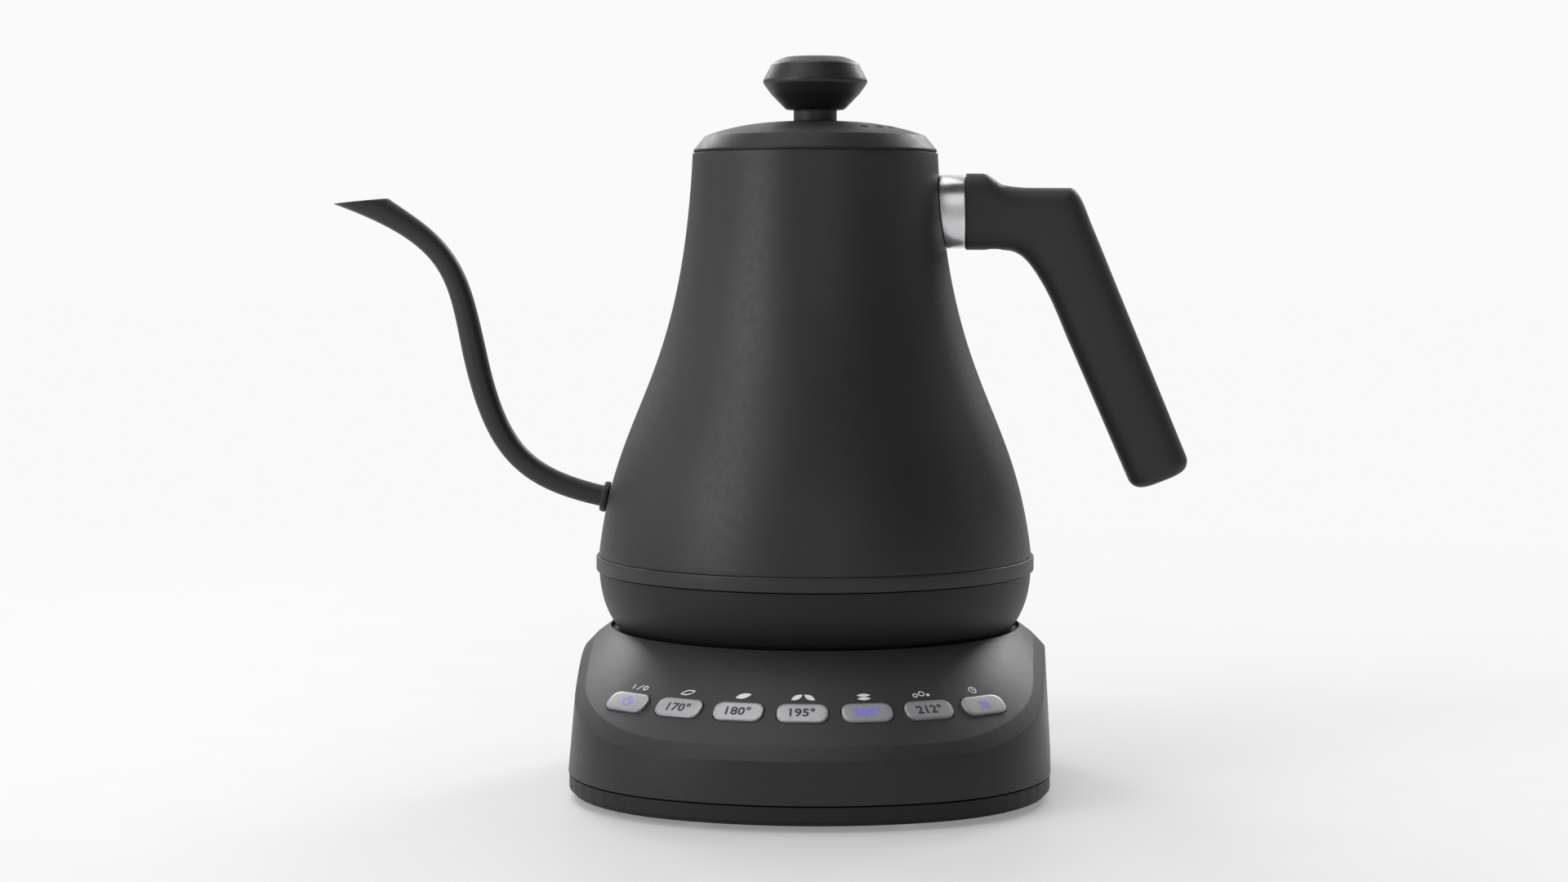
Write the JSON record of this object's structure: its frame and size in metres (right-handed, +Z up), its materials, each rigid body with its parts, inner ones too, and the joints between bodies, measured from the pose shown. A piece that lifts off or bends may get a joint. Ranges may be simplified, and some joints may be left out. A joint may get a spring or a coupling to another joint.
{
  "type": "gooseneck kettle",
  "caption": "Electric gooseneck kettle: tapered body, slim S-curved spout, hooked handle and knobbed lid, lifting off a powered base with a sloped arc of temperature keys.",
  "frame": {"origin": "on the kettle's axis, in the plane the base's feet stand on", "axes": "+Z up along the kettle's axis, +X from the spout to the handle, -Y to the keys"},
  "size_m": [0.2927, 0.2365, 0.2447],
  "materials": {
    "black_enamel": "matte black powder coat",
    "ferrule_steel": "polished with a fine grain",
    "grip_plastic": "matte, slightly soft",
    "housing_plastic": "fine matte texture",
    "base_plastic": "fine moulded texture",
    "bare_steel": "brushed",
    "screw_steel": "zinc plated",
    "spreader_aluminium": "as cast",
    "element_sheath": "heat darkened",
    "lead_sleeve": "braided sleeve",
    "thermostat_ceramic": "fired ceramic",
    "seal_silicone": "soft silicone",
    "gasket_silicone": "soft silicone",
    "connector_plastic": "moulded",
    "contact_brass": "plated",
    "wire_sleeve": "wire insulation",
    "flex_film": "translucent film",
    "carrier_plastic": "moulded",
    "switch_plastic": "moulded",
    "led_lens": "diffusing lens",
    "board_laminate": "green solder mask",
    "relay_case": "moulded",
    "transformer_tape": "polyester tape",
    "capacitor_case": "dipped film",
    "terminal_plastic": "moulded",
    "ribbon_sleeve": "flat cable",
    "foot_rubber": "matte rubber",
    "cord_rubber": "satin rubber",
    "key_satin": "satin metallic paint",
    "key_lit": "satin metallic paint with a lit symbol"
  },
  "bodies": {
    "base": {"base_cover": "base_plastic", "base_bottom": "base_plastic", "base_connector": "connector_plastic", "connector_clamp": "bare_steel", "clamp_screws": "screw_steel", "connector_wires": "wire_sleeve", "keypad_flex": "flex_film", "keypad_carrier": "carrier_plastic", "key_switches": "switch_plastic", "key_leds": "led_lens", "carrier_screws": "screw_steel", "power_board": "board_laminate", "relay": "relay_case", "transformer": "transformer_tape", "film_capacitor": "capacitor_case", "terminal_block": "terminal_plastic", "buzzer": "switch_plastic", "board_screws": "screw_steel", "ribbon_cable": "ribbon_sleeve", "base_screws": "screw_steel", "rubber_feet": "foot_rubber", "power_cord": "cord_rubber", "strain_relief": "cord_rubber", "plug_body": "cord_rubber", "plug_pins": "contact_brass"},
    "lift_contacts": {"contact_sleeve": "contact_brass"},
    "kettle": {"kettle_shell": "black_enamel", "spout_tube": "black_enamel", "spout_collar": "black_enamel", "belt_ring": "black_enamel", "floor_plate": "bare_steel", "heat_spreader": "spreader_aluminium", "heating_element": "element_sheath", "element_leads": "lead_sleeve", "boil_dry_thermostats": "thermostat_ceramic", "temperature_sensor": "bare_steel", "sensor_seal": "seal_silicone", "kettle_connector": "connector_plastic", "connector_screws": "screw_steel", "lower_housing": "housing_plastic", "housing_screws": "screw_steel", "handle_bracket": "bare_steel", "handle_ferrule": "ferrule_steel", "handle_grip": "grip_plastic", "handle_screw": "screw_steel"},
    "lid": {"lid_cover": "black_enamel", "lid_liner": "bare_steel", "lid_gasket": "gasket_silicone", "knob_stem": "black_enamel", "lid_knob": "black_enamel", "knob_screw": "screw_steel", "knob_washer": "screw_steel"},
    "button_power": {"button_power": "key_lit"},
    "button_170": {"button_170": "key_satin"},
    "button_180": {"button_180": "key_satin"},
    "button_195": {"button_195": "key_satin"},
    "button_205": {"button_205": "key_lit"},
    "button_212": {"button_212": "key_satin"},
    "button_hold": {"button_hold": "key_lit"}
  },
  "joints": [
    {"name": "kettle_lift", "type": "slide", "parent": "base", "child": "lift_contacts", "axis": [0, 0, 1], "range_m": [0, 0.12]},
    {"name": "kettle_swivel", "type": "hinge", "parent": "lift_contacts", "child": "kettle", "pos_m": [0, 0, 0.05], "axis": [0, 0, 1], "continuous": true},
    {"name": "lid_lift", "type": "slide", "parent": "kettle", "child": "lid", "axis": [0, 0, 1], "range_m": [0, 0.06]},
    {"name": "press_power", "type": "slide", "parent": "base", "child": "button_power", "axis": [0.3646, 0.47, -0.8039], "range_m": [0, 0.0008], "stiffness_N_per_m": 1300, "springref_m": -0.0003},
    {"name": "press_170", "type": "slide", "parent": "base", "child": "button_170", "axis": [0.2533, 0.5382, -0.8039], "range_m": [0, 0.0008], "stiffness_N_per_m": 1300, "springref_m": -0.0003},
    {"name": "press_180", "type": "slide", "parent": "base", "child": "button_180", "axis": [0.1298, 0.5805, -0.8039], "range_m": [0, 0.0008], "stiffness_N_per_m": 1300, "springref_m": -0.0003},
    {"name": "press_195", "type": "slide", "parent": "base", "child": "button_195", "axis": [0, 0.5948, -0.8039], "range_m": [0, 0.0008], "stiffness_N_per_m": 1300, "springref_m": -0.0003},
    {"name": "press_205", "type": "slide", "parent": "base", "child": "button_205", "axis": [-0.1298, 0.5805, -0.8039], "range_m": [0, 0.0008], "stiffness_N_per_m": 1300, "springref_m": -0.0003},
    {"name": "press_212", "type": "slide", "parent": "base", "child": "button_212", "axis": [-0.2533, 0.5382, -0.8039], "range_m": [0, 0.0008], "stiffness_N_per_m": 1300, "springref_m": -0.0003},
    {"name": "press_hold", "type": "slide", "parent": "base", "child": "button_hold", "axis": [-0.3646, 0.47, -0.8039], "range_m": [0, 0.0008], "stiffness_N_per_m": 1300, "springref_m": -0.0003}
  ]
}
